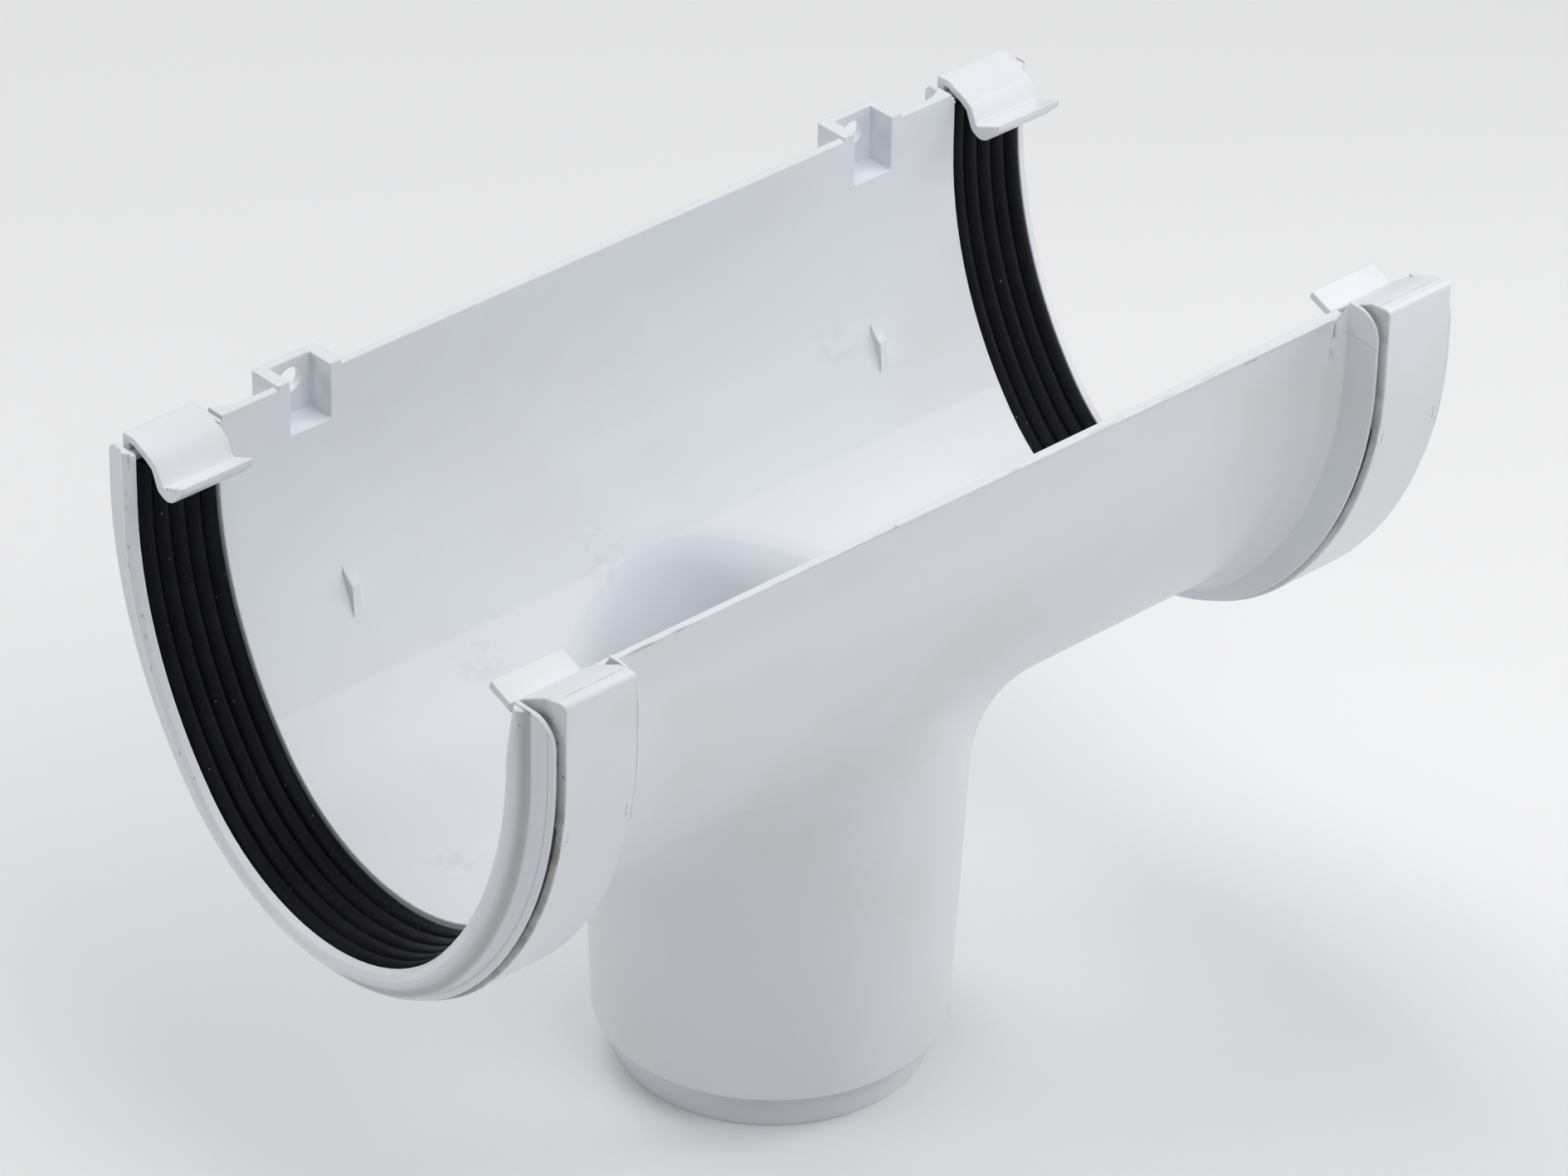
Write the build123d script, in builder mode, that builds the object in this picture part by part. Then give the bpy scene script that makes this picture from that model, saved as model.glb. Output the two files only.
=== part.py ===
import os
from math import atan, cos, degrees, radians, sin, sqrt

from build123d import *

# Running gutter outlet of a deep half-round rainwater system with a 68 mm round downpipe.
# Sizes are in millimetres. X runs along the gutter, -Y is the front, +Y the wall side, Z is up.
# The origin is the middle of the spigot's lower rim, which the outlet can stand on.

# Heights above the springing line, where the straight upstands of the trough begin
springing_height = 154.7
outside_springing = 2.0
front_rim = 12.4
back_rim = 13.1

# Trough
channel_half_width = 56.3
channel_depth = 74.0
channel_fullness = 0.34
front_lean = 2.0
wall = 2.0
trough_half_length = 95.6

# Socket at each end, with the groove that the seal lies in
flare_length = 3.6
fin_b_inner = trough_half_length + flare_length
fin_thickness = 0.8
fin_b_root_top = 15.5
fin_b_crest = 16.4
groove_margin = 1.0
groove_length = 19.8
groove_depth = 1.8
seat_step = 0.9
seat_step_below = 1.2
socket_wall = 1.9
socket_front_room = 1.5
socket_front_top = 9.8
socket_back_top = 11.0

# Guide fins either side of the strap and the rounded bead of the socket mouth
lip_length = 1.2
end_thickness = 1.2
fin_front_height = 8.6
fin_back_height = 4.0
fin_bottom_height = 1.5
fin_a_crest = 13.7
fin_back_top = 12.0
fin_corner_radius = 6.0
fin_back_corner_radius = 2.0
bead_height = 1.5
bead_front_width = 6.2
bead_back_width = 2.9
bead_bottom_width = 4.0
bead_front_top = 13.2
bead_back_top = 12.8
bead_steps = 2

# Spigot
spigot_radius = 38.2
spigot_draft = 0.041
spigot_wall = 2.4
ring_radius = 34.0
ring_height = 9.3
ring_wall = 2.2
spigot_edge_bevel = 0.5
ring_shoulder = 3.0
belly_blend = 24.0
mouth_blend = 20.0
blend_share = 4.2

# Fixing lugs on the back wall
lug_spacing = 153.0
lug_width = 16.6
lug_pocket_width = 10.3
lug_stand_off = 6.6
lug_plate = 2.0
lug_top = 14.1
lug_floor = 1.2
lug_slope = 6.0
lug_pocket_reach = 12.0
screw_hole_diameter = 5.6
screw_hole_height = 9.2

# Gutter stops inside the back wall
stop_spacing = 145.4
stop_thickness = 2.4
stop_top = -30.6
stop_height = 10.4
stop_reach = 3.4

# Clear of every rim
cutter_top = 30.0

# Seals
seal_gap = 0.05
seal_base = 0.8
seal_ridges = 5
seal_proud = 0.4
seal_front_top = 6.5
seal_back_top = 9.5

# Snap straps
strap_gauge = 1.9
strap_side_gap = 1.0
strap_clearance = 0.3
strap_proud = 1.3
strap_round = 1.3
root_round = 0.8
brow_round = 3.0
heel_round = 2.4
valley_round = 3.2
cheek_thickness = 1.5
cheek_drop = 34.0

# Upper face of the strap's front, from its shoulder over the hollow to the tip of its tongue
front_shoulder = 8.1
front_slope = (5.4, -0.8)
front_brow = (12.0, -4.2)
tongue_root = (16.5, -7.6)
tongue_tip = (22.1, -5.4)

# Hook over the back wall, from its shoulder down to the lip and back along the underside
back_shoulder = 3.3
hook_slope = (-3.5, 0.1)
hook_brow = (-8.7, -2.0)
hook_face = (-10.8, -3.4)
hook_root = (-12.5, -7.2)
hook_tip = (-19.5, -4.2)
hook_tip_below = (-19.3, -5.7)
hook_valley = (-14.6, -10.6)
hook_heel = (-11.0, -8.9)
hook_face_below = (-9.2, -4.7)
hook_brow_below = (-7.6, -3.7)
hook_slope_below = (-3.4, -1.8)

# Sizes that follow from the ones above
seal_inner = fin_b_inner + groove_margin
seal_outer = seal_inner + groove_length
fin_a_face = seal_outer + lip_length
fin_a_inner = fin_a_face - end_thickness
body_half_length = fin_a_face + bead_height
channel = (channel_half_width, channel_half_width, channel_depth)
trough_outside = (channel_half_width + wall, channel_half_width + wall, channel_depth + wall)
bore_half_width = channel_half_width + seat_step
bore_depth = channel_depth + seat_step_below
bore = (bore_half_width, bore_half_width, bore_depth)
groove = (bore_half_width + groove_depth, bore_half_width + groove_depth, bore_depth + groove_depth)
socket_front = groove[0] + socket_wall + socket_front_room
socket_back = groove[1] + socket_wall
socket_depth = groove[2] + socket_wall + outside_springing
fin_front = socket_front + fin_front_height
fin_back = socket_back + fin_back_height
fin_depth = socket_depth + fin_bottom_height
bead = (bore_half_width + bead_front_width, bore_half_width + bead_back_width,
        bore_depth + bead_bottom_width)
lug_back = channel_half_width + wall + lug_stand_off
strap_inner = fin_b_inner + fin_thickness + strap_side_gap
strap_outer = fin_a_inner - strap_side_gap
strap_width = strap_outer - strap_inner
strap_front = fin_front + strap_proud
strap_back = socket_back + strap_clearance + strap_gauge
strap_depth = socket_depth + strap_clearance + strap_gauge


def at(y, height):
    """A point of the cross-section, with its height counted from the springing line."""
    return (y, springing_height + height)


def bank(half_width, depth):
    """Radii of the low and the high arc of one side of the section, and the turn of the high one."""
    ratio = half_width / depth
    low = half_width * ratio * (1 + channel_fullness * (1 - ratio))
    high = (depth ** 2 * (1 + ratio) - 2 * half_width ** 2 * channel_fullness) / (
        2 * half_width * (1 - channel_fullness * ratio))
    return low, high, degrees(atan((depth - low) / (high - half_width)))


def wall_y(height):
    """Where the inside of the back wall stands at a height a little below the springing line."""
    high = bank(channel_half_width, channel_depth)[1]
    return channel_half_width - high + sqrt(high ** 2 - height ** 2)


def trough_section(front, back, depth, front_top, back_top, lean=0.0, springing=0.0,
                   front_round=0.0, back_round=0.0):
    """Filled cross-section: two upstands joined below by arcs."""
    lean_there = lean * (front_top - springing) / front_rim
    front_corner = at(-front - lean_there, front_top)
    back_corner = at(back, back_top)
    step = [] if front_top == back_top else [at(0, front_top), at(0, back_top)]
    with BuildSketch() as section:
        with BuildLine():
            for side, half_width, start in ((-1, front, 180), (1, back, 0)):
                low, high, turn = bank(half_width, depth)
                CenterArc(at(side * (half_width - high), springing), high, start, -side * turn)
                CenterArc(at(0, springing - depth + low), low, start - side * turn, -side * (90 - turn))
            Polyline(at(-front, springing), front_corner, *step, back_corner, at(back, springing))
        make_face()
        if front_round:
            fillet(section.vertices().sort_by_distance(front_corner)[0], front_round)
        if back_round:
            fillet(section.vertices().sort_by_distance(back_corner)[0], back_round)
    return section.sketch


def between(inside, outside, share):
    """Half widths and depth of a section that lies part of the way from one to another."""
    return [a + (b - a) * share for a, b in zip(inside, outside)]


def blend(radius, half_width, opening):
    """Radius of a blend, smaller where the wall of the trough stands close to the opening."""
    return min(radius, blend_share * (half_width - opening) ** 2 / opening)


def plate(skin, side):
    """Section of a plate of the strap's thickness under its outer skin."""
    with BuildSketch() as section:
        with BuildLine():
            Polyline(*skin)
            offset(amount=strap_gauge, side=side, kind=Kind.TANGENT)
        make_face()
    return section.sketch


# Outlet body: trough, sockets, spigot, lugs and stops moulded in one
with BuildPart() as outlet_body:
    with BuildSketch(Plane.YZ):
        add(trough_section(*trough_outside, front_rim, back_rim, front_lean))
    extrude(amount=trough_half_length, both=True)

    # The outside widens from the trough to the socket
    with BuildSketch(Plane.YZ.offset(trough_half_length)):
        add(trough_section(*trough_outside, front_rim, back_rim, front_lean))
    with BuildSketch(Plane.YZ.offset(fin_b_inner)):
        add(trough_section(socket_front, socket_back, socket_depth, front_rim, back_rim,
                           springing=outside_springing))
    loft(ruled=True)

    # The front rim grows up into the root of the inner fin
    rim_edge = trough_outside[0] + front_lean
    with BuildSketch(Plane.XY.offset(springing_height + front_rim)):
        with BuildLine():
            Polyline(
                (trough_half_length, -rim_edge),
                (fin_b_inner, -socket_front),
                (fin_b_inner, -rim_edge),
                close=True,
            )
        make_face()
    extrude(amount=fin_b_root_top - front_rim)

    # Socket wall, cut down where the strap hooks over it
    with BuildSketch(Plane.YZ.offset(fin_b_inner)):
        add(trough_section(socket_front, socket_back, socket_depth, socket_front_top, socket_back_top,
                           springing=outside_springing))
    extrude(amount=fin_a_face - fin_b_inner)

    # Guide fins either side of the strap
    for fin_start, thickness, crest_top in ((fin_b_inner, fin_thickness, fin_b_crest),
                                            (fin_a_inner, end_thickness, fin_a_crest)):
        with BuildSketch(Plane.YZ.offset(fin_start)):
            add(trough_section(fin_front, fin_back, fin_depth, crest_top, fin_back_top,
                               springing=outside_springing, front_round=fin_corner_radius,
                               back_round=fin_back_corner_radius))
        extrude(amount=thickness)

    # The crest of the inner fin and its root fall towards the trough, under the slope of the strap
    with BuildSketch(Plane.YZ.offset(trough_half_length)):
        with BuildLine():
            Polyline(
                at(0, front_rim),
                at(-rim_edge, front_rim),
                at(-socket_front, fin_b_root_top),
                at(-socket_front, cutter_top),
                at(0, cutter_top),
                close=True,
            )
        make_face()
    extrude(amount=strap_inner - trough_half_length, mode=Mode.SUBTRACT)

    # Rounded bead round the mouth of the socket
    crest = between(bore, bead, 0.5)
    for step in range(bead_steps + 1):
        turn = radians(90 * step / bead_steps)
        with BuildSketch(Plane.YZ.offset(fin_a_face + bead_height * sin(turn))):
            add(trough_section(*between(bead, crest, 1 - cos(turn)), bead_front_top, bead_back_top))
    loft(ruled=True)
    mirror(about=Plane.YZ)

    # Spigot outside, blended into the belly of the trough
    spigot_top = springing_height - channel_depth / 2
    spigot_top_radius = spigot_radius + spigot_draft * (spigot_top - ring_height)
    with BuildSketch(Plane.XZ):
        with BuildLine():
            Polyline(
                (0, ring_height),
                (spigot_radius, ring_height),
                (spigot_top_radius, spigot_top),
                (0, spigot_top),
                close=True,
            )
        make_face()
    revolve(axis=Axis.Z)
    joint = outlet_body.edges().filter_by(GeomType.BSPLINE).filter_by(
        lambda edge: edge.center().X ** 2 + edge.center().Y ** 2 < spigot_top_radius ** 2)
    fillet(joint, blend(belly_blend, trough_outside[0], spigot_top_radius))
    spigot_edge = outlet_body.edges().filter_by(GeomType.CIRCLE).sort_by(Axis.Z)[0]
    chamfer(spigot_edge, spigot_edge_bevel)
    with BuildSketch(Plane.XY):
        Circle(ring_radius)
    extrude(amount=ring_height + ring_wall)

    # Fixing lugs stand out from the back wall
    lug_bottom = lug_floor - lug_plate
    with BuildSketch(Plane.YZ.offset(lug_spacing / 2 - lug_width / 2)):
        with BuildLine():
            Polyline(
                at(channel_half_width, lug_top),
                at(lug_back, lug_top),
                at(lug_back, lug_bottom),
                at(channel_half_width, lug_bottom - lug_slope),
                close=True,
            )
        make_face()
    lug = extrude(amount=lug_width)
    mirror(lug, about=Plane.YZ)

    # Waterway through the trough, with a wider bore and a seal groove in each socket
    with BuildSketch(Plane.YZ):
        add(trough_section(*channel, cutter_top, cutter_top, front_lean))
    extrude(amount=seal_inner, both=True, mode=Mode.SUBTRACT)
    with BuildSketch(Plane.YZ.offset(seal_inner)):
        add(trough_section(*groove, cutter_top, cutter_top, front_lean))
    seal_groove = extrude(amount=groove_length, mode=Mode.SUBTRACT)
    mirror(seal_groove, about=Plane.YZ, mode=Mode.SUBTRACT)

    # Mouth of each socket, flared out to the crest of the bead
    for step in range(bead_steps + 1):
        turn = radians(90 * step / bead_steps)
        with BuildSketch(Plane.YZ.offset(seal_outer + (body_half_length - seal_outer) * sin(turn))):
            add(trough_section(*between(bore, crest, 1 - cos(turn)), cutter_top, cutter_top, front_lean))
    socket_mouth = loft(ruled=True, mode=Mode.SUBTRACT)
    mirror(socket_mouth, about=Plane.YZ, mode=Mode.SUBTRACT)

    # Waterway down the spigot, with a soft mouth in the floor of the trough
    bore_radius = spigot_radius - spigot_wall
    bore_top_radius = spigot_top_radius - spigot_wall
    ring_bore = ring_radius - ring_wall
    with BuildSketch(Plane.XZ):
        with BuildLine():
            Polyline(
                (0, 0),
                (ring_bore, 0),
                (ring_bore, ring_height),
                (bore_radius, ring_height + ring_shoulder),
                (bore_top_radius, spigot_top),
                (0, spigot_top),
                close=True,
            )
        make_face()
    revolve(axis=Axis.Z, mode=Mode.SUBTRACT)
    mouth = outlet_body.edges().filter_by(GeomType.BSPLINE).filter_by(
        lambda edge: edge.center().X ** 2 + edge.center().Y ** 2 < bore_top_radius ** 2)
    fillet(mouth, blend(mouth_blend, channel_half_width, bore_top_radius))

    # Pocket and screw hole of each lug
    for side in (-1, 1):
        with BuildSketch(Plane.XY.offset(springing_height + lug_floor)):
            with Locations((side * lug_spacing / 2, lug_back - lug_plate)):
                Rectangle(lug_pocket_width, lug_pocket_reach, align=(Align.CENTER, Align.MAX))
        extrude(amount=cutter_top, mode=Mode.SUBTRACT)
        with BuildSketch(Plane.XZ.offset(-lug_back)):
            with Locations((side * lug_spacing / 2, springing_height + screw_hole_height)):
                Circle(screw_hole_diameter / 2)
        extrude(amount=lug_plate, mode=Mode.SUBTRACT)

    # Wedge-shaped gutter stops on the inside of the back wall
    stop_bottom = stop_top - stop_height
    for side in (-1, 1):
        with BuildSketch(Plane.YZ.offset(side * stop_spacing / 2)):
            with BuildLine():
                Polyline(
                    at(wall_y(stop_top) + wall / 2, stop_top + wall / 2),
                    at(wall_y(stop_top) - stop_reach, stop_top - stop_reach),
                    at(wall_y(stop_bottom), stop_bottom),
                    at(wall_y(stop_bottom) + wall / 2, stop_bottom),
                    close=True,
                )
            make_face()
        extrude(amount=stop_thickness / 2, both=True)


# Seals: flat back in the groove, ridges towards the gutter
seal_back = [size - seal_gap for size in groove]
seal_web = [size - seal_base for size in seal_back]
ridge_root = between(seal_back, seal_web, 0.5)
ridge_top = [size - seal_proud for size in bore]
seal_length = groove_length - 2 * seal_gap
ridge_pitch = seal_length / seal_ridges
seals = {}
for side, name in ((-1, "seal_left"), (1, "seal_right")):
    with BuildPart() as seal:
        with BuildSketch(Plane.YZ.offset(seal_inner + seal_gap)):
            add(trough_section(*seal_back, seal_front_top, seal_back_top, front_lean))
            add(trough_section(*seal_web, cutter_top, cutter_top, front_lean), mode=Mode.SUBTRACT)
        extrude(amount=seal_length)
        for ridge in range(seal_ridges):
            ridge_start = seal_inner + seal_gap + ridge * ridge_pitch
            for along, inside in ((0, seal_web), (ridge_pitch / 2, ridge_top), (ridge_pitch, seal_web)):
                with BuildSketch(Plane.YZ.offset(ridge_start + along)):
                    add(trough_section(*ridge_root, seal_front_top, seal_back_top, front_lean))
                    add(trough_section(*inside, cutter_top, cutter_top, front_lean), mode=Mode.SUBTRACT)
            loft(ruled=True)
        if side < 0:
            mirror(about=Plane.YZ, mode=Mode.REPLACE)
    seal.part.label = name
    seals[name] = seal.part

# Snap straps: a band under the socket, a tongue to press at the front, a hook over the back wall
front_corner = (-strap_front, socket_front_top + front_shoulder)
back_corner = (strap_back, socket_back_top + back_shoulder)
front_face_top = front_corner[1] + front_slope[1] - strap_gauge
back_face_top = back_corner[1] + hook_slope_below[1]
front_skin = [at(-strap_front, front_face_top), at(*front_corner)]
front_skin += [at(front_corner[0] + y, front_corner[1] + height)
               for y, height in (front_slope, front_brow, tongue_root, tongue_tip)]
hook_outline = [at(*back_corner)]
hook_outline += [at(back_corner[0] + y, back_corner[1] + height)
                 for y, height in (hook_slope, hook_brow, hook_face, hook_root, hook_tip, hook_tip_below,
                                   hook_valley, hook_heel, hook_face_below, hook_brow_below,
                                   hook_slope_below)]
hook_outline += [at(strap_back - strap_gauge, back_face_top), at(strap_back, back_face_top)]
rounded_corners = (
    (front_skin[1], strap_round),
    (front_skin[4], root_round),
    (hook_outline[0], root_round),
    (hook_outline[2], brow_round),
    (hook_outline[4], root_round),
    (hook_outline[7], valley_round),
    (hook_outline[8], heel_round),
)
straps = {}
for side, name in ((-1, "strap_left"), (1, "strap_right")):
    with BuildPart() as strap:
        with BuildSketch(Plane.YZ.offset(strap_inner)) as band:
            add(trough_section(strap_front, strap_back, strap_depth, front_face_top, back_face_top,
                               springing=outside_springing))
            add(trough_section(strap_front - strap_gauge, strap_back - strap_gauge,
                               strap_depth - strap_gauge, cutter_top, cutter_top,
                               springing=outside_springing), mode=Mode.SUBTRACT)
            add(plate(front_skin, Side.RIGHT))
            with BuildLine():
                Polyline(*hook_outline, close=True)
            make_face()
            for corner, radius in rounded_corners:
                fillet(band.vertices().sort_by_distance(corner)[0], radius)
        extrude(amount=strap_width)

        # Triangular cheeks close the ends of the hollow behind the shoulder
        cheek_front = strap_front - strap_gauge / 2
        cheek_back = socket_front + strap_clearance
        with BuildSketch(Plane.YZ.offset(strap_inner)):
            with BuildLine():
                Polyline(
                    at(-cheek_front, front_corner[1] - cheek_drop),
                    at(-cheek_front, front_corner[1] - strap_gauge),
                    at(front_corner[0] + front_slope[0], front_face_top + strap_gauge / 2),
                    at(front_corner[0] + front_brow[0], front_corner[1] + front_brow[1] - strap_gauge / 2),
                    at(-cheek_back, socket_front_top + strap_clearance),
                    at(-cheek_back, 0),
                    close=True,
                )
            make_face()
        cheek = extrude(amount=cheek_thickness)
        add(cheek.moved(Location((strap_width - cheek_thickness, 0, 0))))
        if side < 0:
            mirror(about=Plane.YZ, mode=Mode.REPLACE)
    strap.part.label = name
    straps[name] = strap.part

outlet_body.part.label = "outlet_body"
os.makedirs("parts", exist_ok=True)
export_step(outlet_body.part, "parts/outlet_body.step")
for name, piece in {**seals, **straps}.items():
    export_step(piece, f"parts/{name}.step")
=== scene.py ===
"""Looks of a running gutter outlet: moulded white plastic, two ribbed rubber seals and a plain studio.

Lengths are in metres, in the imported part's frame: X along the gutter, -Y the front, +Y the wall side
and Z up, with the spigot's rim on the floor at Z = 0. Only spot(), spots() and lines() take millimetres.
"""

from math import atan, cos, radians, sin, tan

import bmesh
import bpy
from bpy.props import FloatProperty, FloatVectorProperty, IntProperty, PointerProperty
from mathutils import Matrix, Vector


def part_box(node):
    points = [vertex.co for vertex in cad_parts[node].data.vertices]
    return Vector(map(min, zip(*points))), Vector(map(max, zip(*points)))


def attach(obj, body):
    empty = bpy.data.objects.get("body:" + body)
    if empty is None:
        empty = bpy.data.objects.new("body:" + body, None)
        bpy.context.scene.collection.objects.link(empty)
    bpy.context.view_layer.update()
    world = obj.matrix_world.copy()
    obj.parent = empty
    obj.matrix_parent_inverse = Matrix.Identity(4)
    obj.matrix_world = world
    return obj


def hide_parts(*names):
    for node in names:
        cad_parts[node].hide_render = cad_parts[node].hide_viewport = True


bl_info = {
    "name": "Running Gutter Outlet",
    "version": (1, 0, 0),
    "blender": (4, 5, 0),
    "location": "View3D > Sidebar > Outlet",
    "description": "Dresses the running gutter outlet in moulded plastic and ribbed rubber",
    "category": "Object",
}

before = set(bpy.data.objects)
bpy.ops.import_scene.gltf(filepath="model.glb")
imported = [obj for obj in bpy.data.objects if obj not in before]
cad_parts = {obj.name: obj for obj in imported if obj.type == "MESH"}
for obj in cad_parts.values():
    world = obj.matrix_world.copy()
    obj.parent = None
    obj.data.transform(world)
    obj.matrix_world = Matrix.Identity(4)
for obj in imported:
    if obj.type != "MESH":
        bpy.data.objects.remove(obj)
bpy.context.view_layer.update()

MM = 0.001


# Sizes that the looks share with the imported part

SEAL_LOW, SEAL_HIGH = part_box("seal_right")
STRAP_LOW, STRAP_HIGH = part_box("strap_right")
SPRINGING = 154.7 * MM
CHANNEL_FULLNESS = 0.34
CHANNEL_HALF_WIDTH, CHANNEL_DEPTH = 56.3 * MM, 74 * MM
TROUGH_END = 95.6 * MM
END_FACE = 121.2 * MM
FRONT_RIM_FACE, FRONT_RIM_TOP = -60.3 * MM, SPRINGING + 12.4 * MM
BEAD_FRONT, BEAD_DEPTH = 63.4 * MM, 79.2 * MM
FIN_FRONT, FIN_DEPTH, FIN_SPRINGING = 71 * MM, 82.4 * MM, SPRINGING + 2 * MM
RING_TOP = 9.3 * MM
SEAL_FRONT_TOP = SPRINGING + 6.5 * MM

# Y and Z of the low tips of a strap's cheeks, and Y of the strap's front skin beside them
CHEEK_TIP = (-71.35 * MM, SPRINGING - 16.1 * MM)
SKIN_AT_CHEEK_TIP = -70.5 * MM

# A radius inside the spigot's wall, which parts its outside from its bore
SPIGOT_WALL = 33.3 * MM


# Meshes

# Points closer than this are one point, and facets that meet flatter than this are one face
MERGE_DISTANCE = 0.002 * MM
FLAT_ANGLE = radians(0.3)

# Edges sharper than this are softened
SHARP_ANGLE = radians(35)

# Radius of the soft root of each flare, and the least angle that marks its edge
FLARE_BLEND = 2.2 * MM
FLARE_ANGLE = radians(8)

# Steps of the seals' mesh, across one rib and round the trough
RIB_STEPS = 10
SEAL_STEPS = 150

# Each rib's height is a share of the full one, from this up to 1
LOWEST_RIB = 0.93
RIB_SEED = 7

# Edges of the rubber that are sharper than this keep their crease
SEAL_SHARP_ANGLE = radians(50)


# Plastic

# Shares from 0 to 1 with which a stain, the paler low band, a mark, or the painted shade in creases and on
# the end step shows where it is strongest
STAIN_SHARE = 0.55
LOW_BAND_SHARE = 0.6
CREASE_SHADE_SHARE, END_STEP_SHADE_SHARE, SMUDGE_SHARE = 0.6, 0.35, 0.13
SPOT_SHARE, STREAK_SHARE, FINE_LINE_SHARE = 0.6, 0.4, 0.22
RIM_SHARE, WORN_RIM_SHARE = 0.2, 0.4

# Height of the paler low band's level edge, and how far inside the fin's outline the step with its painted
# shade lies
LOW_BAND_EDGE = SPRINGING - 51.6 * MM
FIN_STEP_INSET = 1.4 * MM

# How far the roughness strays over the plastic, and what scratches and dirt add to it
ROUGHNESS_SWING = 0.05
SCRATCH_ROUGHNESS, DIRT_ROUGHNESS = 0.07, 0.4

RIPPLE_HEIGHT, WAVE_HEIGHT = 0.012 * MM, 0.05 * MM
PLASTIC_IOR = 1.47


# Rubber

# How much paler the bloom is than the rubber
BLOOM_GAIN = 1.5
SMOOTHEST_RUBBER, ROUGHEST_RUBBER = 0.42, 0.58
GRAIN_HEIGHT = 0.02 * MM
RUBBER_SPECULAR = 0.08


# Studio

# Width of the photograph in pixels, and of the camera's sensor in millimetres
PHOTO_WIDTH = 1890
SENSOR_WIDTH = 36.0

# The camera sees no further than this
FAR_CLIP = 20

FLOOR_RADIUS, FLOOR_SIDES, FLOOR_ROUGHNESS = 6, 96, 0.9
AIR_COLOUR, AIR_STRENGTH = (0.97, 0.98, 1.0), 0.14

# Each lamp's name, place, width and watts, and the point that they all face
LAMPS = (
    ("overhead_softbox", (0, 0, 1.6), 1.0, 4.7),
    ("rear_softbox", (0, 0.9, 1.4), 1.0, 9.3),
    ("front_softbox", (0, -0.9, 1.4), 1.0, 4.5),
    ("low_right_panel", (1.5, -0.6, 0.2), 0.6, 4.0),
    ("right_lamp", (0.5, -0.25, 0.5), 0.3, 0.9),
    ("front_lamp", (0, -0.5, 0.65), 0.4, 0.7),
    ("rear_left_lamp", (-0.6, 0.35, 0.35), 0.3, 0.7),
)
LAMP_AIM = Vector((0, 0, 0.1))


class PlasticLook(bpy.types.PropertyGroup):
    """Finish of the moulded plastic."""

    body_colour: FloatVectorProperty(
        name="Body Colour", description="Colour of the moulded outlet body",
        default=(0.82, 0.85, 0.895), size=3, min=0, max=1, subtype="COLOR")
    strap_colour: FloatVectorProperty(
        name="Strap Colour", description="Colour of the snap straps, a little brighter than the body",
        default=(0.85, 0.875, 0.915), size=3, min=0, max=1, subtype="COLOR")
    stain_colour: FloatVectorProperty(
        name="Stain Colour", description="Faint yellow cast in blotches on the plastic",
        default=(0.775, 0.795, 0.785), size=3, min=0, max=1, subtype="COLOR")
    grime_colour: FloatVectorProperty(
        name="Grime Colour", description="Brown dirt in the gaps beside the straps and at the ring",
        default=(0.30, 0.25, 0.19), size=3, min=0, max=1, subtype="COLOR")
    # Paler plastic below a level edge low in the trough
    low_band_colour: FloatVectorProperty(
        name="Washed Colour", description="Cleaner plastic low in the trough, where water runs",
        default=(0.90, 0.915, 0.94), size=3, min=0, max=1, subtype="COLOR")
    # Painted shade in the bead creases, on the fins' end step and under the spigot's step at the ring, and
    # the colour of faint smudges of dirt
    crease_shade_and_smudge_colour: FloatVectorProperty(
        name="Crease Colour", description="Grey film of dirt in the creases of the body",
        default=(0.34, 0.345, 0.35), size=3, min=0, max=1, subtype="COLOR")
    scuff_colour: FloatVectorProperty(
        name="Scuff Colour", description="Dark marks on the rims, the beads and the straps",
        default=(0.16, 0.165, 0.17), size=3, min=0, max=1, subtype="COLOR")
    roughness: FloatProperty(
        name="Roughness", description="Roughness of the clean plastic",
        default=0.34, min=0, max=1, subtype="FACTOR")
    edge_radius: FloatProperty(
        name="Edge Radius", description="Radius of the softened edges",
        default=0.35 * MM, min=0.05 * MM, max=1 * MM, precision=5, unit="LENGTH")


class SealLook(bpy.types.PropertyGroup):
    """Shape and finish of the ribbed seals."""

    ribs: IntProperty(
        name="Ribs", description="Ribs across each seal", default=5, min=2, max=8)
    web: FloatProperty(
        name="Web", description="Thickness of the rubber in the valleys between ribs",
        default=1.1 * MM, min=0.3 * MM, max=2 * MM, precision=5, unit="LENGTH")
    rib_height: FloatProperty(
        name="Rib Height", description="Height of a rib above the valleys",
        default=1 * MM, min=0.2 * MM, max=1.04 * MM, precision=5, unit="LENGTH")
    shoulder_share: FloatProperty(
        name="Shoulder Share", description="Share of a rib's pitch that its two rounded shoulders take up",
        default=0.96, min=0.1, max=1, subtype="FACTOR")
    colour: FloatVectorProperty(
        name="Rubber Colour", description="Colour of the rubber",
        default=(0.0046, 0.0048, 0.0066), size=3, min=0, max=1, subtype="COLOR")
    dust_colour: FloatVectorProperty(
        name="Dust Colour", description="Colour of the few pale specks on the rubber",
        default=(0.16, 0.16, 0.155), size=3, min=0, max=1, subtype="COLOR")


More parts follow.
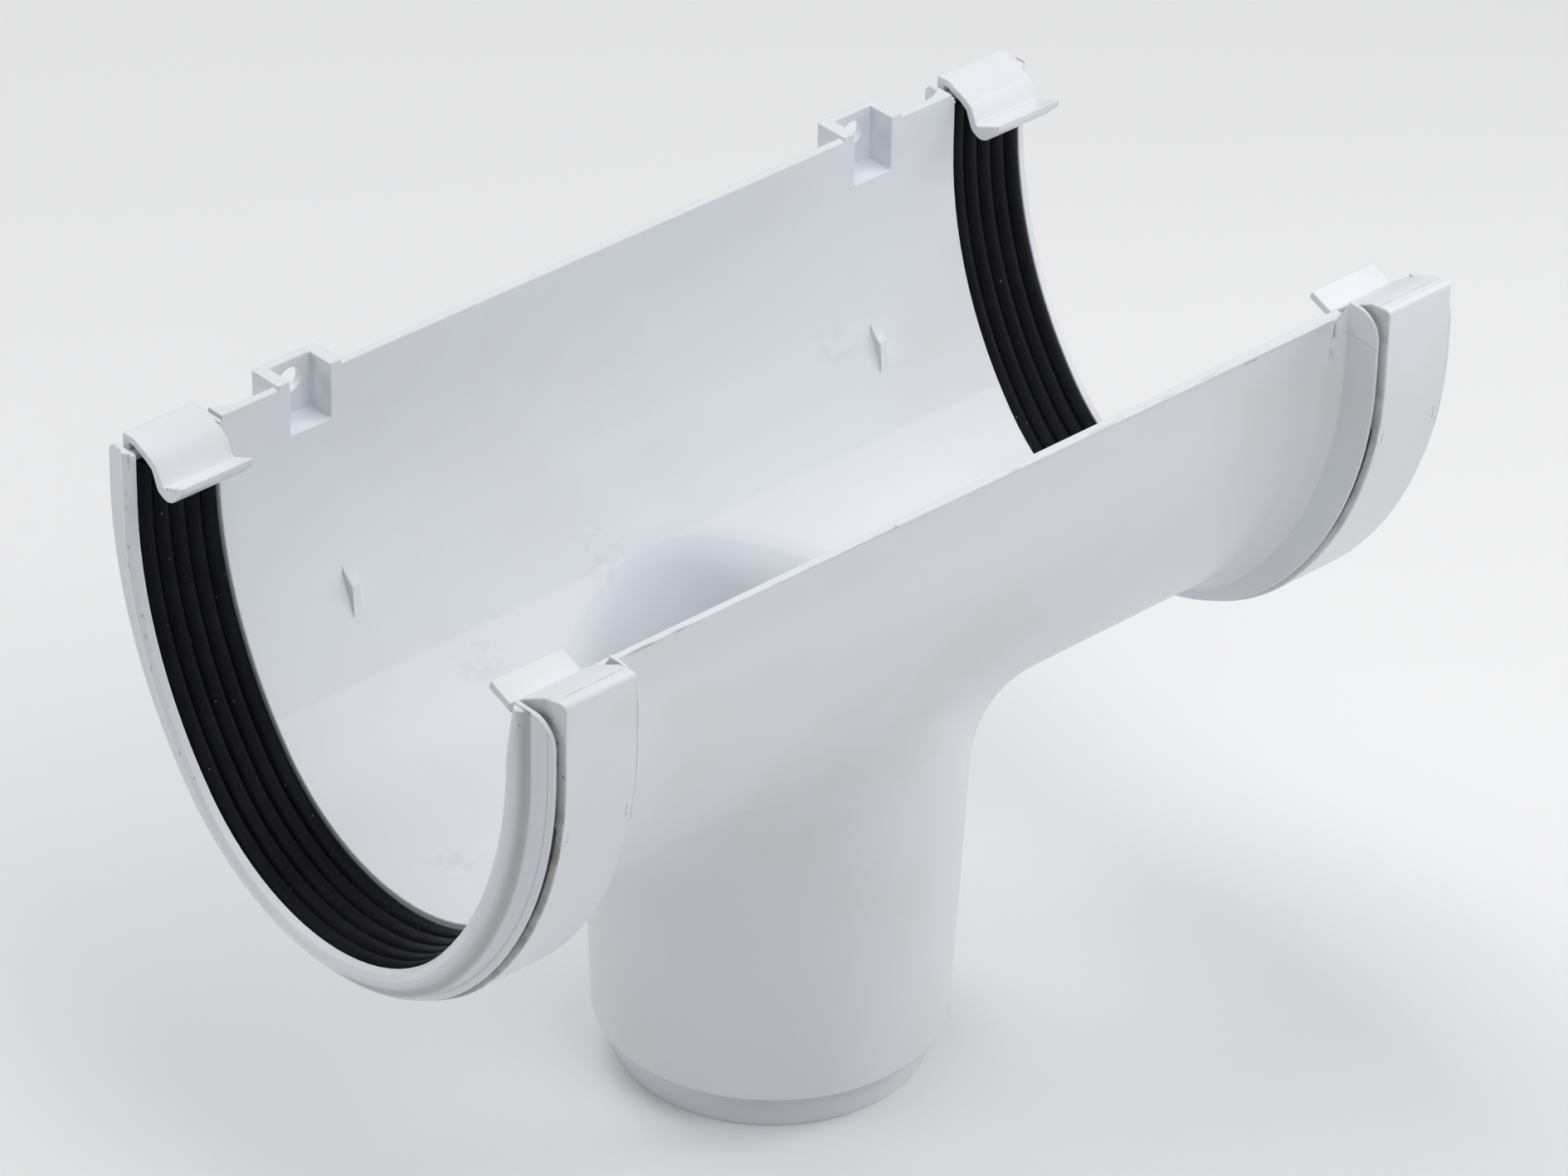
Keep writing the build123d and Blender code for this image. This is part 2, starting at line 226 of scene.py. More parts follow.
class StudioLook(bpy.types.PropertyGroup):
    """Camera and floor."""

    azimuth: FloatProperty(
        name="Azimuth", description="Turn of the camera round the outlet, 0 looks along +Y",
        default=radians(-42.359), subtype="ANGLE")
    elevation: FloatProperty(
        name="Elevation", description="Height of the camera above the horizon",
        default=radians(33.261), subtype="ANGLE")
    roll: FloatProperty(
        name="Roll", description="Turn of the camera about its own line of sight",
        default=radians(0.986), subtype="ANGLE")
    distance: FloatProperty(
        name="Distance", description="Distance from the camera to its aim",
        default=1.6374, min=0.2, unit="LENGTH")
    aim: FloatVectorProperty(
        name="Aim", description="Point that the middle of the picture looks at",
        default=(-0.017634, -0.021349, 0.130689), size=3, subtype="XYZ")
    focal_pixels: FloatProperty(
        name="Focal Length", description="Focal length in pixels of the photograph's width",
        default=9796.5, min=100)
    floor_colour: FloatVectorProperty(
        name="Floor Colour", description="Colour of the floor",
        default=(0.93, 0.93, 0.935), size=3, min=0, max=1, subtype="COLOR")


# Node helpers


class Tree:
    """A node tree with short calls for the nodes that the materials and the seals share."""

    def __init__(self, tree):
        self.tree = tree

    def node(self, kind, _settings=None, **inputs):
        """A new node, with settings by attribute and inputs by name."""
        made = self.tree.nodes.new(kind)
        for key, value in (_settings or {}).items():
            setattr(made, key, value)
        for key, value in inputs.items():
            self.put(made.inputs[key.replace("_", " ")], value)
        return made

    def put(self, socket, value):
        """Links a socket to another one, or sets it."""
        if isinstance(value, bpy.types.NodeSocket):
            self.tree.links.new(value, socket)
        else:
            socket.default_value = value

    def math(self, operation, *values):
        made = self.node("ShaderNodeMath", {"operation": operation})
        for socket, value in zip(made.inputs, values):
            self.put(socket, value)
        return made.outputs[0]

    def vector(self, operation, first, second):
        made = self.node("ShaderNodeVectorMath", {"operation": operation})
        self.put(made.inputs[0], first)
        self.put(made.inputs[3 if operation == "SCALE" else 1], second)
        return made.outputs["Value" if operation in ("DISTANCE", "DOT_PRODUCT") else "Vector"]

    def times(self, first, *others):
        """Product of all the values."""
        for other in others:
            first = self.math("MULTIPLY", first, other)
        return first


class Finish(Tree):
    """A material on Object coordinates. Its masks run from 0 to 1."""

    def __init__(self, name):
        self.material = bpy.data.materials.new(name)
        self.material.use_nodes = True
        super().__init__(self.material.node_tree)
        self.shader = self.tree.nodes["Principled BSDF"]
        self.place = self.node("ShaderNodeTexCoord").outputs["Object"]
        self.x, self.y, self.z = self.node("ShaderNodeSeparateXYZ", Vector=self.place).outputs

    def step(self, value, low, high):
        """0 at low, 1 at high, smooth between; low may be above high."""
        turned = low > high
        made = self.node("ShaderNodeMapRange", {"interpolation_type": "SMOOTHSTEP"}, Value=value,
                         From_Min=min(low, high), From_Max=max(low, high),
                         To_Min=float(turned), To_Max=float(not turned))
        return made.outputs["Result"]

    def within(self, value, low, high, soft):
        """1 between low and high, falling to 0 over the soft width outside them."""
        return self.times(self.step(value, low - soft, low), self.step(value, high + soft, high))

    def spread(self, value, low, high):
        """Stretches a value from 0 to 1 so that it runs from low to high."""
        return self.math("MULTIPLY_ADD", value, high - low, low)

    def most(self, first, *others):
        """Largest of all the values."""
        for other in others:
            first = self.math("MAXIMUM", first, other)
        return first

    def noise(self, size, detail=3.0, stretch=(1, 1, 1), seed=0.0):
        """Noise whose features are about this size, drawn out along the axes by stretch."""
        scaled = self.node("ShaderNodeMapping", Vector=self.place)
        scaled.inputs["Scale"].default_value = [1 / (size * s) for s in stretch]
        scaled.inputs["Location"].default_value = (seed, seed * 0.7, seed * 1.3)
        made = self.node("ShaderNodeTexNoise", Vector=scaled.outputs[0], Scale=1.0, Detail=detail)
        return made.outputs["Fac"]

    def patches(self, size, low, high, detail=3.0, stretch=(1, 1, 1), seed=0.0):
        """Noise cut to patches: 0 where it is under low and 1 where it is over high."""
        return self.step(self.noise(size, detail, stretch, seed), low, high)

    def mix(self, share, first, second):
        """The first colour, with this share of the second one over it."""
        made = self.node("ShaderNodeMix", {"data_type": "RGBA"})
        self.put(made.inputs["Factor"], share)
        for socket, value in ((made.inputs[6], first), (made.inputs[7], second)):
            self.put(socket, value if isinstance(value, bpy.types.NodeSocket) else (*value, 1))
        return made.outputs[2]

    def bump(self, height, distance, normal=None):
        made = self.node("ShaderNodeBump", Height=height, Distance=distance)
        if normal:
            self.put(made.inputs["Normal"], normal)
        return made.outputs["Normal"]

    def length(self, first, second):
        """Length of a step of first along one axis and second along another."""
        return self.math("SQRT", self.math("ADD", self.times(first, first), self.times(second, second)))

    def beyond_bank(self, half_width, depth, springing):
        """Distance outwards from the section of this half width, this deep below its springing line."""
        low_radius, high_radius, turn = bank(half_width, depth)
        out = self.math("ABSOLUTE", self.y)
        down = self.math("MAXIMUM", self.math("SUBTRACT", springing, self.z), 0)
        gaps = []
        for centre_out, centre_down, radius in ((half_width - high_radius, 0, high_radius),
                                                (0, depth - low_radius, low_radius)):
            away = self.length(self.math("SUBTRACT", out, centre_out),
                               self.math("SUBTRACT", down, centre_down))
            gaps.append(self.math("SUBTRACT", away, radius))
        steepness = self.math("DIVIDE", down, self.math("SUBTRACT", out, half_width - high_radius))
        is_low = self.math("GREATER_THAN", steepness, tan(turn))
        return self.math("ADD", self.times(gaps[1], is_low),
                         self.times(gaps[0], self.math("SUBTRACT", 1, is_low)))

    def near_line(self, y, z, reach):
        """1 on a line along X at this y and z, falling to 0 at reach."""
        away = self.length(self.math("SUBTRACT", self.y, y), self.math("SUBTRACT", self.z, z))
        return self.step(away, reach, 0)

    def near_point(self, point, reach):
        """1 at a point, falling to 0 at reach."""
        return self.step(self.vector("DISTANCE", self.place, point), reach, 0)

    def near_segment(self, start, end, reach):
        """1 on a straight line between two points, falling to 0 at reach."""
        run = Vector(end) - Vector(start)
        from_start = self.vector("SUBTRACT", self.place, start)
        share = self.vector("DOT_PRODUCT", from_start, run / run.length_squared)
        share = self.math("MINIMUM", self.math("MAXIMUM", share, 0), 1)
        return self.step(self.vector("DISTANCE", from_start, self.vector("SCALE", run, share)), reach, 0)

    def spots(self, *places):
        """1 at each place, falling to 0 at its reach. Each gives x, y, height and reach in millimetres."""
        return self.most(*(self.near_point(spot(x, y, height), reach * MM)
                           for x, y, height, reach in places))

    def lines(self, reach, *runs):
        """1 on each straight run from place to place, falling to 0 at reach, all in millimetres."""
        return self.most(*(self.near_segment(spot(*start), spot(*end), reach * MM) for start, end in runs))


def bank(half_width, depth):
    """Radii of the low and the high arc of one side of the section, and the turn of the high one."""
    ratio = half_width / depth
    low = half_width * ratio * (1 + CHANNEL_FULLNESS * (1 - ratio))
    high = (depth ** 2 * (1 + ratio) - 2 * half_width ** 2 * CHANNEL_FULLNESS) / (
        2 * half_width * (1 - CHANNEL_FULLNESS * ratio))
    return low, high, atan((depth - low) / (high - half_width))


def spot(x, y, height):
    """A place on the part from millimetres, with its height counted from the springing line."""
    return (x * MM, y * MM, SPRINGING + height * MM)


# Materials


def plastic_finish(name, colour, look, marks, dirt, shade_and_smudges=None, low_band=None):
    """Glossy plastic with a faint stain, fine scratches, the marks and dirt given, and where given a paler
    low band and painted shade with smudges.
    """
    finish = Finish(name)
    stain = finish.times(finish.patches(45 * MM, 0.42, 0.70, detail=5, seed=3.1), STAIN_SHARE)
    coloured = finish.mix(stain, colour, look.stain_colour)
    # Paler band low in the trough, below a level edge
    if low_band:
        coloured = finish.mix(low_band(finish), coloured, look.low_band_colour)
    # Painted shade in creases and on steps, with faint smudges of dirt
    if shade_and_smudges:
        coloured = finish.mix(shade_and_smudges(finish), coloured, look.crease_shade_and_smudge_colour)
    grime = dirt(finish)
    coloured = finish.mix(grime, coloured, look.grime_colour)
    coloured = finish.mix(marks(finish), coloured, look.scuff_colour)
    finish.put(finish.shader.inputs["Base Color"], coloured)

    scratches = finish.patches(1.2 * MM, 0.62, 0.74, detail=2, stretch=(18, 1, 1), seed=2.0)
    rough = finish.spread(finish.noise(20 * MM, seed=7.7), look.roughness - ROUGHNESS_SWING,
                          look.roughness + ROUGHNESS_SWING)
    rough = finish.math("MULTIPLY_ADD", scratches, SCRATCH_ROUGHNESS, rough)
    rough = finish.math("MULTIPLY_ADD", grime, DIRT_ROUGHNESS, rough)
    finish.put(finish.shader.inputs["Roughness"], rough)
    ripple = finish.bump(finish.noise(1.6 * MM, seed=1.2), RIPPLE_HEIGHT)
    waves = finish.bump(finish.noise(12 * MM, detail=2, seed=5.5), WAVE_HEIGHT, ripple)
    finish.put(finish.shader.inputs["Normal"], waves)
    finish.shader.inputs["IOR"].default_value = PLASTIC_IOR
    return finish.material


def body_low_band(finish):
    """Paler band low in the trough, with an edge that runs level along it."""
    from_channel = finish.beyond_bank(CHANNEL_HALF_WIDTH, CHANNEL_DEPTH, SPRINGING)
    inside = finish.step(from_channel, 0.8 * MM, 0.3 * MM)
    below = finish.step(finish.z, LOW_BAND_EDGE + 0.7 * MM, LOW_BAND_EDGE - 0.7 * MM)
    return finish.times(inside, below, LOW_BAND_SHARE)


def body_shade_and_smudges(finish):
    """Painted shade beside each bead and on a step of the end faces, a painted shadow with dirt in a line
    round the ring under the spigot's step, and faint smudges of dirt.
    """
    at_end = finish.step(finish.math("ABSOLUTE", finish.x), END_FACE - 0.3 * MM, END_FACE - 0.1 * MM)
    front = finish.step(finish.y, -2 * MM, -12 * MM)
    # Painted shade in the crease beside the bead and on the fin's end step
    from_bead = finish.beyond_bank(BEAD_FRONT, BEAD_DEPTH, SPRINGING)
    crease = finish.times(finish.step(from_bead, -2.6 * MM, 0.7 * MM),
                          finish.step(from_bead, 1.9 * MM, 0.7 * MM), CREASE_SHADE_SHARE)
    from_step = finish.beyond_bank(FIN_FRONT - FIN_STEP_INSET, FIN_DEPTH - FIN_STEP_INSET, FIN_SPRINGING)
    end_step = finish.times(finish.within(from_step, 0, 0, 0.5 * MM), END_STEP_SHADE_SHARE)
    ends = finish.times(at_end, front, finish.most(crease, end_step))

    # Painted shadow with dirt in a thin line under the spigot's step, all round the ring
    joint = finish.within(finish.z, RING_TOP, RING_TOP + 0.15 * MM, 0.3 * MM)
    outside = finish.step(finish.length(finish.x, finish.y), SPIGOT_WALL - 0.3 * MM, SPIGOT_WALL + 0.3 * MM)
    uneven = finish.spread(finish.patches(3 * MM, 0.3, 0.65, seed=12.0), 0.2, 0.55)
    ring = finish.times(joint, outside, uneven)

    mottle = finish.patches(2.8 * MM, 0.44, 0.62, detail=4, seed=15.0)
    places = finish.spots((-49.6, 35.4, -57.5, 9), (-84.2, 3.5, -73.9, 9), (-12.0, 44.0, -52.0, 12),
                          (62.2, 50.5, -31.9, 8))
    return finish.most(ends, ring, finish.times(places, mottle, SMUDGE_SHARE))


def body_marks(finish):
    """Scuffs on the front rim and the near bead, moulding lines by the far fin and a few small dots."""
    rim = finish.near_line(FRONT_RIM_FACE, FRONT_RIM_TOP, 0.7 * MM)
    broken = finish.patches(2.2 * MM, 0.50, 0.66, stretch=(2.2, 1, 1), seed=4.4)
    near_end = finish.within(finish.x, -91 * MM, -79 * MM, 2 * MM)
    scuffs = finish.times(rim, broken, finish.most(RIM_SHARE, finish.times(near_end, WORN_RIM_SHARE)))

    # Fine specks down the outer edge of the near bead, behind and below
    edge = finish.step(finish.x, -END_FACE, -END_FACE - 0.6 * MM)
    behind = finish.within(finish.y, 36 * MM, 66 * MM, 4 * MM)
    specks = finish.patches(0.9 * MM, 0.62, 0.72, stretch=(1, 1.5, 4), seed=11.0)
    streaks = finish.times(edge, behind, specks, STREAK_SHARE)

    dots = finish.spots((-23.8, -60.3, 12.4, 0.7), (-121.5, -64.3, 13.2, 0.8), (-122.0, -64.9, 7.1, 0.7),
                        (-122.3, -62.5, 10.0, 0.5), (25.9, 44.5, -42.0, 0.5), (-8.7, 49.8, -31.0, 0.5))
    dashes = finish.lines(0.4, ((71.9, -60.1, 11.3), (75.3, -60.1, 11.0)),
                          ((77.0, -60.2, 11.9), (80.4, -60.2, 11.7)),
                          ((84.6, -60.2, 12.0), (86.2, -60.2, 11.8)))
    fine = finish.lines(0.28, ((97.0, -60.4, 11.7), (97.3, -61.0, 8.0)),
                        ((98.0, -61.2, 8.3), (99.2, -62.4, 9.3)),
                        ((99.2, -62.4, 9.3), (99.2, -70.9, 8.4)),
                        ((-122.2, 62.6, 9.0), (-122.4, 58.4, -10.0)))
    return finish.most(finish.times(finish.most(dots, dashes), SPOT_SHARE), scuffs, streaks,
                       finish.times(fine, FINE_LINE_SHARE))


def gap_dirt(finish):
    """Brown dirt in the gap between each strap and the outer fin, on the front and most of all low down."""
    side = finish.math("ABSOLUTE", finish.x)
    in_gap = finish.within(side, STRAP_HIGH.x - 0.2 * MM, STRAP_HIGH.x + 1 * MM, 0.1 * MM)
    front = finish.step(finish.y, -20 * MM, -30 * MM)
    low = finish.step(finish.z, SPRINGING + 8 * MM, SPRINGING - 12 * MM)
    patches = finish.patches(6 * MM, 0.42, 0.66, detail=4, seed=9.0)
    share = finish.math("MULTIPLY_ADD", patches, 0.35, finish.spread(low, 0.06, 0.34))
    return finish.times(in_gap, front, share)


def body_dirt(finish):
    """Dirt in the gaps, and a brown line on the right where the ring meets the spigot."""
    joint = finish.within(finish.z, RING_TOP - 0.1 * MM, RING_TOP + 0.1 * MM, 0.25 * MM)
    right = finish.step(finish.x, 12 * MM, 26 * MM)
    broken = finish.spread(finish.patches(3 * MM, 0.35, 0.6, seed=12.0), 0.15, 0.55)
    return finish.most(gap_dirt(finish), finish.times(joint, right, broken))


def strap_marks(finish):
    """A dark line along the shoulder, small spots in the gap and the gate's marks on the near hook."""
    shoulder = finish.near_line(-69.0 * MM, SPRINGING + 17.4 * MM, 0.32 * MM)
    broken = finish.spread(finish.patches(4 * MM, 0.4, 0.6, seed=13.0), 0.12, 0.42)
    spots = finish.spots((-119.0, -69.7, 8.4, 1.0), (-119.0, -69.9, 3.8, 0.8), (-119.0, -71.6, 1.5, 0.7),
                         (-119.0, 48.9, 7.6, 0.5), (-119.0, 47.6, 7.9, 0.4), (-119.0, 46.2, 8.2, 0.4))
    return finish.most(finish.times(shoulder, broken), finish.times(spots, SPOT_SHARE))


def strap_dirt(finish):
    """Dirt in the gap, and a thin tan line down the strap's inner edge."""
    side = finish.math("ABSOLUTE", finish.x)
    edge = finish.step(side, STRAP_LOW.x + 0.45 * MM, STRAP_LOW.x + 0.15 * MM)
    front = finish.step(finish.y, -58 * MM, -62 * MM)
    broken = finish.spread(finish.patches(7 * MM, 0.35, 0.65, seed=14.0), 0.1, 0.45)
    return finish.most(gap_dirt(finish), finish.times(edge, front, broken))


def rubber_finish(name, look):
    """Black rubber with a dull sheen and a few pale specks of dust."""
    finish = Finish(name)
    specks = finish.patches(1.1 * MM, 0.78, 0.80, detail=1, seed=8.0)
    bloom = finish.patches(12 * MM, 0.4, 0.75, seed=2.5)
    dull = finish.mix(bloom, look.colour, [BLOOM_GAIN * part for part in look.colour])
    finish.put(finish.shader.inputs["Base Color"], finish.mix(specks, dull, look.dust_colour))
    rough = finish.spread(finish.noise(4 * MM, seed=4.0), SMOOTHEST_RUBBER, ROUGHEST_RUBBER)
    finish.put(finish.shader.inputs["Roughness"], rough)
    finish.put(finish.shader.inputs["Normal"], finish.bump(finish.noise(0.7 * MM), GRAIN_HEIGHT))
    finish.shader.inputs["Specular IOR Level"].default_value = RUBBER_SPECULAR
    return finish.material


# Mesh helpers


def take_over(name, mesh, material, node):
    """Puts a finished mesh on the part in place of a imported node."""
    mesh.materials.clear()
    mesh.materials.append(material)
    piece = bpy.data.objects.new(name, mesh)
    bpy.context.collection.objects.link(piece)
    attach(piece, "root")
    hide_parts(node)


def baked(carrier):
    """Applies an object's modifiers, deletes the object and gives the plain mesh."""
    mesh = bpy.data.meshes.new_from_object(
        carrier.evaluated_get(bpy.context.evaluated_depsgraph_get()))
    carrier.modifiers.clear()
    bpy.data.objects.remove(carrier)
    return mesh


def lay_cheeks_flush(shape):
    """Draws the low tips of a strap's cheeks back onto its front skin."""
    tip_y, tip_z = CHEEK_TIP
    for vert in shape.verts:
        if abs(vert.co.y - tip_y) < 0.03 * MM and abs(vert.co.z - tip_z) < 0.1 * MM:
            vert.co.y = SKIN_AT_CHEEK_TIP


def blend_flares(shape):
    """Rounds the edge where the outside of the trough turns out to each socket."""
    edges = [edge for edge in shape.edges
             if edge.is_manifold and edge.calc_face_angle() > FLARE_ANGLE
             and all(abs(abs(vert.co.x) - TROUGH_END) < 0.01 * MM for vert in edge.verts)]
    bmesh.ops.bevel(shape, geom=edges, offset=FLARE_BLEND, offset_type="OFFSET", segments=5,
                    profile=0.5, affect="EDGES", clamp_overlap=False)


def softened(node, radius, mend=None, blend=None):
    """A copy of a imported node's mesh with its sharp edges rounded a little, as a mould leaves them."""
    shape = bmesh.new()
    shape.from_mesh(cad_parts[node].data)
    bmesh.ops.remove_doubles(shape, verts=shape.verts, dist=MERGE_DISTANCE)
    if mend:
        mend(shape)
    bmesh.ops.dissolve_limit(shape, angle_limit=FLAT_ANGLE, verts=shape.verts, edges=shape.edges)
    if blend:
        blend(shape)
    mesh = bpy.data.meshes.new(node + "_soft")
    shape.to_mesh(mesh)
    shape.free()
    if "custom_normal" in mesh.attributes:
        mesh.attributes.remove(mesh.attributes["custom_normal"])
    mesh.shade_smooth()
    carrier = bpy.data.objects.new(node + "_carrier", mesh)
    bpy.context.collection.objects.link(carrier)
    bevel = carrier.modifiers.new("Soft Edges", "BEVEL")
    bevel.width = radius
    bevel.segments = 2
    bevel.limit_method = "ANGLE"
    bevel.angle_limit = SHARP_ANGLE
    bevel.use_clamp_overlap = False
    bevel.miter_outer = "MITER_ARC"
    bevel.harden_normals = True
    return baked(carrier)


def seal_path():
    """Points along the back of a seal, from its front top under the trough to its back top."""
    half_width = SEAL_HIGH.y
    depth = SPRINGING - SEAL_LOW.z
    low, high, join = bank(half_width, depth)
    quarter = []
    for degree in range(91):
        turn = radians(degree)
        if turn < join:
            quarter.append((half_width - high + high * cos(turn), SPRINGING - high * sin(turn)))
        else:
            quarter.append((low * cos(turn), SPRINGING - depth + low - low * sin(turn)))
    front = [(-y, z) for y, z in quarter]
    path = [(SEAL_LOW.y, SEAL_FRONT_TOP), *front, *quarter[-2::-1], (half_width, SEAL_HIGH.z)]
    return [(0, y, z) for y, z in path]


def rib_tree():
    """Geometry nodes that bend a block round a path and raise ribs on its inner side."""
    group = bpy.data.node_groups.new("ribbed_seal", "GeometryNodeTree")
    ports = group.interface
    ports.new_socket("Path", in_out="INPUT", socket_type="NodeSocketGeometry")
    for name, kind in (("Start", "Float"), ("Length", "Float"), ("Ribs", "Int"), ("Web", "Float"),
                       ("Rib Height", "Float"), ("Shoulder Share", "Float"), ("Rubber", "Material")):
        ports.new_socket(name, in_out="INPUT", socket_type="NodeSocket" + kind)
    ports.new_socket("Seal", in_out="OUTPUT", socket_type="NodeSocketGeometry")
    tree = Tree(group)
    given = tree.node("NodeGroupInput").outputs
    across = tree.math("MULTIPLY_ADD", given["Ribs"], RIB_STEPS, 1)
    block = tree.node("GeometryNodeMeshCube", Vertices_X=across, Vertices_Y=SEAL_STEPS, Vertices_Z=2)
    place = tree.node("GeometryNodeInputPosition").outputs[0]
    share = tree.node("ShaderNodeSeparateXYZ", Vector=tree.vector("ADD", place, (0.5, 0.5, 0.5))).outputs

    # Height over the path: rounded shoulders beside each valley, and each rib a little its own
    rib = tree.math("MULTIPLY", share["X"], given["Ribs"])
    from_valley = tree.math("PINGPONG", rib, 0.5)
    shoulder = tree.math("MULTIPLY", given["Shoulder Share"], 0.5)
    risen = tree.math("MINIMUM", tree.math("DIVIDE", from_valley, shoulder), 1)
    rounded = tree.math("SQRT", tree.math("MULTIPLY", risen, tree.math("SUBTRACT", 2, risen)))
    own = tree.node("FunctionNodeRandomValue", {"data_type": "FLOAT"})
    for key, value in (("Min", LOWEST_RIB), ("Max", 1.0), ("Seed", RIB_SEED)):
        next(s for s in own.inputs if s.name == key and s.enabled).default_value = value
    tree.put(next(s for s in own.inputs if s.name == "ID"), tree.math("FLOOR", rib))
    own_height = next(s for s in own.outputs if s.enabled)
    raised = tree.times(rounded, given["Rib Height"], own_height)
    height = tree.math("MULTIPLY", tree.math("ADD", given["Web"], raised), share["Z"])

    curve = tree.node("GeometryNodeMeshToCurve", Mesh=given["Path"]).outputs[0]
    sample = tree.node("GeometryNodeSampleCurve", {"mode": "FACTOR", "use_all_curves": True},
                       Curves=curve, Factor=share["Y"]).outputs
    inwards = tree.vector("CROSS_PRODUCT", (1, 0, 0), sample["Tangent"])
    along = tree.math("MULTIPLY_ADD", share["X"], given["Length"], given["Start"])
    bent = tree.vector("ADD", sample["Position"], tree.vector("SCALE", inwards, height))
    bent = tree.vector("ADD", bent, tree.node("ShaderNodeCombineXYZ", X=along).outputs[0])
    shaped = tree.node("GeometryNodeSetPosition", Geometry=block.outputs["Mesh"], Position=bent)
    whole = tree.node("GeometryNodeRealizeInstances", Geometry=shaped.outputs[0])
    coated = tree.node("GeometryNodeSetMaterial", Geometry=whole.outputs[0], Material=given["Rubber"])
    tree.put(tree.node("NodeGroupOutput").inputs["Seal"], coated.outputs[0])
    return group


def ribbed_seal(name, group, settings):
    """Plain mesh of a seal, made by the rib tree on the path of its back."""
    path = bpy.data.meshes.new(name + "_path")
    points = seal_path()
    path.from_pydata(points, [(i, i + 1) for i in range(len(points) - 1)], [])
    carrier = bpy.data.objects.new(name + "_carrier", path)
    bpy.context.collection.objects.link(carrier)
    ribs = carrier.modifiers.new("Ribs", "NODES")
    ribs.node_group = group
    for item in group.interface.items_tree:
        if item.in_out == "INPUT" and item.name in settings:
            ribs[item.identifier] = settings[item.name]
    mesh = baked(carrier)
    mesh.name = name
    mesh.shade_smooth()
    mesh.set_sharp_from_angle(angle=SEAL_SHARP_ANGLE)
    return mesh


# Operators


class OUTLET_OT_body(bpy.types.Operator):
    """Dress the moulded outlet body"""

    bl_idname = "outlet.body"
    bl_label = "Outlet Body"

    def execute(self, context):
        look = context.scene.outlet_plastic
        material = plastic_finish("white_body_plastic", tuple(look.body_colour), look, body_marks,
                                  body_dirt, body_shade_and_smudges, body_low_band)
        mesh = softened("outlet_body", look.edge_radius, blend=blend_flares)
        take_over("body_moulding", mesh, material, "outlet_body")
        return {"FINISHED"}


class OUTLET_OT_straps(bpy.types.Operator):
    """Dress the two snap straps"""

    bl_idname = "outlet.straps"
    bl_label = "Snap Straps"

    def execute(self, context):
        look = context.scene.outlet_plastic
        material = plastic_finish("white_strap_plastic", tuple(look.strap_colour), look, strap_marks,
                                  strap_dirt)
        for side in ("left", "right"):
            mesh = softened("strap_" + side, look.edge_radius, mend=lay_cheeks_flush)
            take_over("snap_strap_" + side, mesh, material, "strap_" + side)
        return {"FINISHED"}


class OUTLET_OT_seals(bpy.types.Operator):
    """Make the two ribbed seals"""

    bl_idname = "outlet.seals"
    bl_label = "Ribbed Seals"

    def execute(self, context):
        look = context.scene.outlet_seal
        material = rubber_finish("black_seal_rubber", look)
        group = rib_tree()
        length = SEAL_HIGH.x - SEAL_LOW.x
        for side, start in (("left", -SEAL_HIGH.x), ("right", SEAL_LOW.x)):
            mesh = ribbed_seal("ribbed_seal_" + side, group, {
                "Start": start, "Length": length, "Ribs": look.ribs, "Web": look.web,
                "Rib Height": look.rib_height, "Shoulder Share": look.shoulder_share, "Rubber": material})
            take_over("ribbed_seal_" + side, mesh, material, "seal_" + side)
        return {"FINISHED"}


